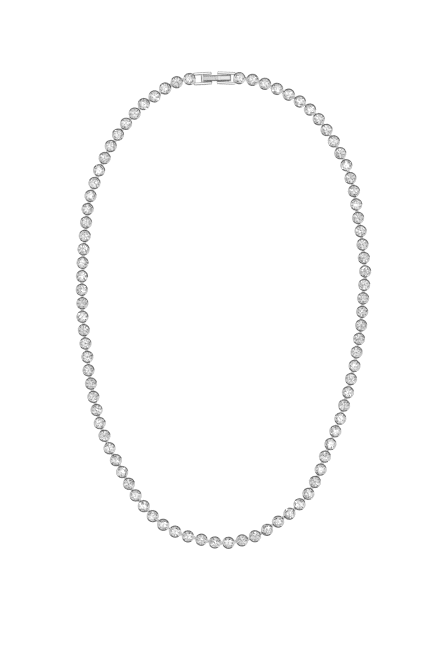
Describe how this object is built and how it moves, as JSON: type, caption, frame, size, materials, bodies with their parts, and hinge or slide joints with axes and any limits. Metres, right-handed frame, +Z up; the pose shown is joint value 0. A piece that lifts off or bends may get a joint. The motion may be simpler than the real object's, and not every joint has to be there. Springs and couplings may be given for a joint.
{
  "type": "riviere necklace",
  "caption": "Riviere necklace: a closed row of round clear stones in bezel cups hooked link to link, with a fold-over clasp, lying flat.",
  "frame": {"origin": "on the surface that the necklace lies on, under the middle of its outline", "axes": "+Z up out of the surface, through the stones' tables; +Y from the middle towards the clasp; +X to the right seen from above with the clasp away from the viewer"},
  "size_m": [0.1024, 0.1654, 0.0028],
  "materials": {
    "bezel_silver": "polished rhodium-plated silver with a turned-in rim",
    "clear_stone": "clear round brilliants, polished facets",
    "clasp_silver": "polished rhodium-plated silver",
    "lever_silver": "rhodium-plated silver, finely satin on top"
  },
  "bodies": {
    "necklace": {"left_settings": "bezel_silver", "right_settings": "bezel_silver", "left_stones": "clear_stone", "right_stones": "clear_stone", "left_clasp_half": "clasp_silver", "right_clasp_half": "clasp_silver"},
    "lever": {"clasp_lever": "lever_silver"}
  },
  "joints": [
    {"name": "lever_hinge", "type": "hinge", "parent": "necklace", "child": "lever", "pos_m": [-0.00723, 0.08033, 0.00114], "axis": [0.061, -0.9981, 0], "range_deg": [0, 120]}
  ]
}
